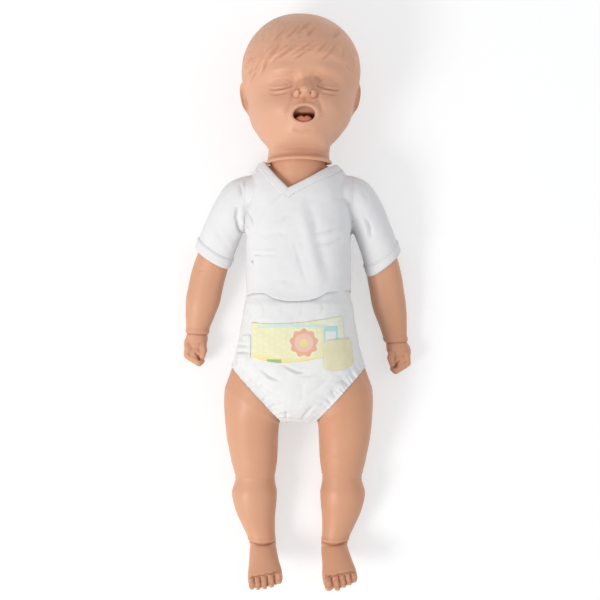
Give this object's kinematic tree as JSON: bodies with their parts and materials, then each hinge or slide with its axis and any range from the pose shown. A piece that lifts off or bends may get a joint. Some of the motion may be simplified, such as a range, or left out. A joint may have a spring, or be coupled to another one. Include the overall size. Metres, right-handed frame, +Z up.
{
  "type": "infant rescue manikin",
  "caption": "Soft infant manikin in a wrap shirt and printed diaper, with a turning head, jointed limbs, sprung chest and open mouth for breathing and rescue practice.",
  "frame": {"origin": "on the floor under the middle of the figure's box", "axes": "+X to the manikin's left, +Y from the feet to the crown of the head, +Z up, away from the floor it lies on"},
  "size_m": [0.26, 0.6587, 0.1461],
  "materials": {
    "skin_vinyl": "soft satin vinyl",
    "hard_plastic": "moulded, matt",
    "steel": "plated, satin",
    "bag_film": "thin film",
    "clear_tube": "smooth",
    "mouth_rubber": "smooth, moist looking",
    "tongue_rubber": "smooth",
    "white_cloth": "knitted cotton",
    "snap_metal": "satin",
    "diaper_cloth": "soft nonwoven",
    "printed_film": "printed nonwoven",
    "tape_film": "smooth film"
  },
  "bodies": {
    "torso": {"trunk_shell": "skin_vinyl", "chest_skin": "skin_vinyl", "guide_post": "hard_plastic", "neck_seat": "hard_plastic", "shirt_body": "white_cloth", "shirt_wrap": "white_cloth", "neckband": "white_cloth", "snap": "snap_metal", "diaper": "diaper_cloth", "leg_cuff_left": "diaper_cloth", "leg_cuff_right": "diaper_cloth", "front_band": "printed_film", "tape_left": "tape_film", "tape_right": "tape_film", "shoulder_bolt_left": "steel", "shoulder_bolt_right": "steel", "shoulder_nut_left": "steel", "shoulder_nut_right": "steel", "hip_bolt_left": "steel", "hip_bolt_right": "steel", "hip_nut_left": "steel", "hip_nut_right": "steel"},
    "chest": {"rib_plate": "hard_plastic", "lung_bag": "bag_film", "press_spring": "steel"},
    "neck": {"neck_yoke": "hard_plastic", "neck_pin": "steel", "neck_clip": "hard_plastic"},
    "head": {"head_skin": "skin_vinyl", "neck_block": "hard_plastic", "mouth_liner": "mouth_rubber", "tongue": "tongue_rubber", "airway_tube": "clear_tube"},
    "arm_left": {"arm_left": "skin_vinyl", "shoulder_bush_left": "hard_plastic", "sleeve_left": "white_cloth", "sleeve_hem_left": "white_cloth"},
    "leg_left": {"leg_left": "skin_vinyl", "hip_bush_left": "hard_plastic"},
    "arm_right": {"arm_right": "skin_vinyl", "shoulder_bush_right": "hard_plastic", "sleeve_right": "white_cloth", "sleeve_hem_right": "white_cloth"},
    "leg_right": {"leg_right": "skin_vinyl", "hip_bush_right": "hard_plastic"}
  },
  "joints": [
    {"name": "neck_swivel", "type": "hinge", "parent": "torso", "child": "neck", "pos_m": [0, 0.16, 0.0686], "axis": [0, 1, 0], "range_deg": [-60, 60]},
    {"name": "head_nod", "type": "hinge", "parent": "neck", "child": "head", "pos_m": [0, 0.16, 0.0686], "axis": [0.9945, 0, -0.1045], "range_deg": [-20, 8]},
    {"name": "chest_press", "type": "slide", "parent": "torso", "child": "chest", "axis": [0, 0, -1], "range_m": [0, 0.03], "stiffness_N_per_m": 2500, "springref_m": -0.003, "deforming": ["press_spring"]},
    {"name": "shoulder_left", "type": "hinge", "parent": "torso", "child": "arm_left", "pos_m": [0.061, 0.116, 0.05], "axis": [-1, 0, 0], "range_deg": [-20, 140]},
    {"name": "hip_left", "type": "hinge", "parent": "torso", "child": "leg_left", "pos_m": [0.048, -0.104, 0.045], "axis": [-0.7431, 0.6691, 0], "range_deg": [-15, 90]},
    {"name": "shoulder_right", "type": "hinge", "parent": "torso", "child": "arm_right", "pos_m": [-0.061, 0.116, 0.05], "axis": [-1, 0, 0], "range_deg": [-20, 140]},
    {"name": "hip_right", "type": "hinge", "parent": "torso", "child": "leg_right", "pos_m": [-0.048, -0.104, 0.045], "axis": [-0.7431, -0.6691, 0], "range_deg": [-15, 90]}
  ]
}
